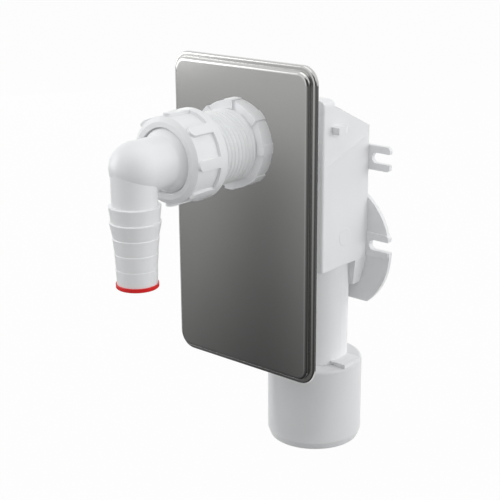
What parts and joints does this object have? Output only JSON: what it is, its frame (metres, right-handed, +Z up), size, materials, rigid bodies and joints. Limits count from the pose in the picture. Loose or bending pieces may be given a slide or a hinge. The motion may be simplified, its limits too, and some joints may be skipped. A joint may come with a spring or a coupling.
{
  "type": "washing machine standpipe trap",
  "caption": "Concealed washing machine trap: steel wall plate, hose elbow with a stepped barb on a union nut, water-seal body behind the wall and a spigot outlet below.",
  "frame": {"origin": "on the axis of the outlet, at the lower end of the outlet adapter", "axes": "+Z up along the outlet axis, -Y out of the wall towards the hose elbow, +X across the wall plate"},
  "size_m": [0.086, 0.1641, 0.2085],
  "materials": {
    "steel": "satin stainless sheet",
    "white_plastic": "white polypropylene, slightly glossy",
    "red_plastic": "red polyethylene",
    "rubber": "black rubber"
  },
  "bodies": {
    "root": {"cover_plate": "steel", "ring_nut": "white_plastic", "union_nut": "white_plastic", "hose_elbow": "white_plastic", "union_washer": "rubber", "end_plug": "red_plastic", "trap_body": "white_plastic", "back_plate": "white_plastic", "seal_insert": "white_plastic", "outlet_adapter": "white_plastic", "outlet_seal": "rubber"}
  },
  "joints": []
}
